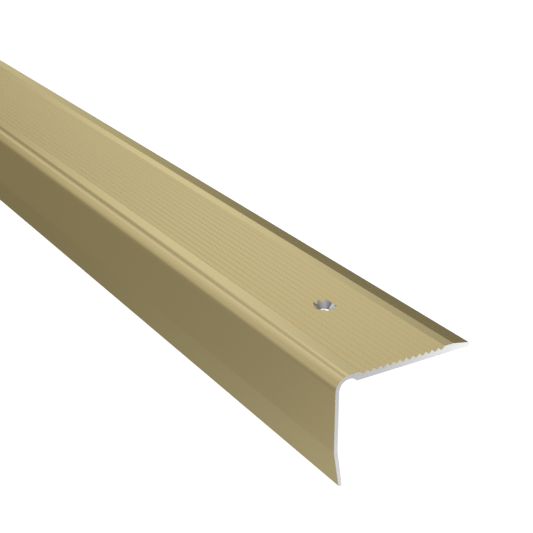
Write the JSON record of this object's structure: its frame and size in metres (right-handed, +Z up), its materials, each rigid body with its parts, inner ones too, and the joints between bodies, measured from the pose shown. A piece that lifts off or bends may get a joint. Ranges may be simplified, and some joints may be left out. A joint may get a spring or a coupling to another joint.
{
  "type": "stair nosing",
  "caption": "Length of extruded aluminium stair nosing with a V-grooved tread, rounded nose, set-in riser lip and countersunk screw holes.",
  "frame": {"origin": "middle of the length, on the floor plane, half way between the two free edges that it lies on", "axes": "+X along the length; +Z up, away from the floor, towards the nose; +Y from the riser's lip towards the tread's rear edge"},
  "size_m": [0.9, 0.0478, 0.0238],
  "materials": {
    "anodised_aluminium": "satin anodised, champagne gold, with bare cut ends and holes"
  },
  "bodies": {
    "root": {"nosing_profile": "anodised_aluminium"}
  },
  "joints": []
}
